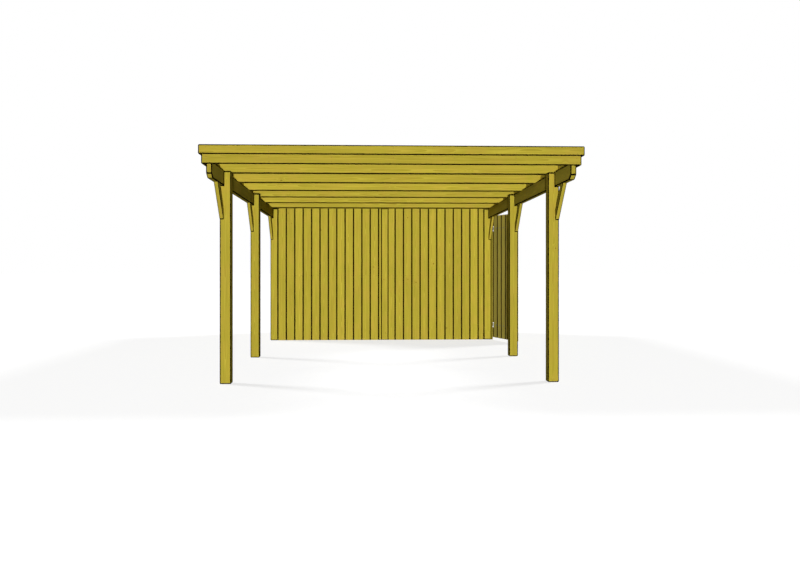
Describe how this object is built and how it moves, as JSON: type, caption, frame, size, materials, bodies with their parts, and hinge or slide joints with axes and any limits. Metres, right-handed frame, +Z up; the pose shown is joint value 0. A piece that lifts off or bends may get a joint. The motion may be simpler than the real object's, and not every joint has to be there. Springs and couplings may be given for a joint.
{
  "type": "flat-roofed timber carport",
  "caption": "Flat-roofed timber carport: an open bay between braced posts, a boarded wall across its back end, and a narrow store behind it with a side-hung door.",
  "frame": {"origin": "on the ground, underside of the partition wall's sole plate, midway between the two rows of posts", "axes": "+X to the right as seen from the open front, +Y from the open front towards the store, +Z up"},
  "size_m": [3.9857, 7.4007, 2.415],
  "materials": {
    "timber": "pressure-treated pine, planed, unpainted",
    "roof_steel": "coated trapezoidal steel sheet",
    "ironwork": "hot-dip galvanised"
  },
  "bodies": {
    "carport": {"back_boards": "timber", "back_frame": "timber", "back_lower_fascia": "timber", "back_upper_fascia": "timber", "door_jamb": "timber", "door_stops": "timber", "front_lower_fascia": "timber", "front_upper_fascia": "timber", "hinge_pintles": "ironwork", "left_braces": "timber", "left_lower_fascia": "timber", "left_post_1": "timber", "left_post_2": "timber", "left_post_3": "timber", "left_post_4": "timber", "left_purlin": "timber", "left_side_boards": "timber", "left_side_rails": "timber", "left_upper_fascia": "timber", "rafter_0": "timber", "rafter_1": "timber", "rafter_2": "timber", "rafter_3": "timber", "rafter_4": "timber", "rafter_5": "timber", "rafter_6": "timber", "rafter_7": "timber", "rafter_8": "timber", "right_braces": "timber", "right_lower_fascia": "timber", "right_post_1": "timber", "right_post_2": "timber", "right_post_3": "timber", "right_post_4": "timber", "right_purlin": "timber", "right_side_boards": "timber", "right_side_rails": "timber", "right_upper_fascia": "timber", "roof_sheet": "roof_steel", "wall_boards_left": "timber", "wall_boards_right": "timber", "wall_frame": "timber"},
    "store_door": {"door_boards": "timber", "door_ledges": "timber", "door_handle": "ironwork", "hinge_straps": "ironwork"}
  },
  "joints": [
    {"name": "store_door_hinge", "type": "hinge", "parent": "carport", "child": "store_door", "pos_m": [1.832, -0.0425, 0.35], "axis": [0, 0, 1], "range_deg": [-8, 161]}
  ]
}
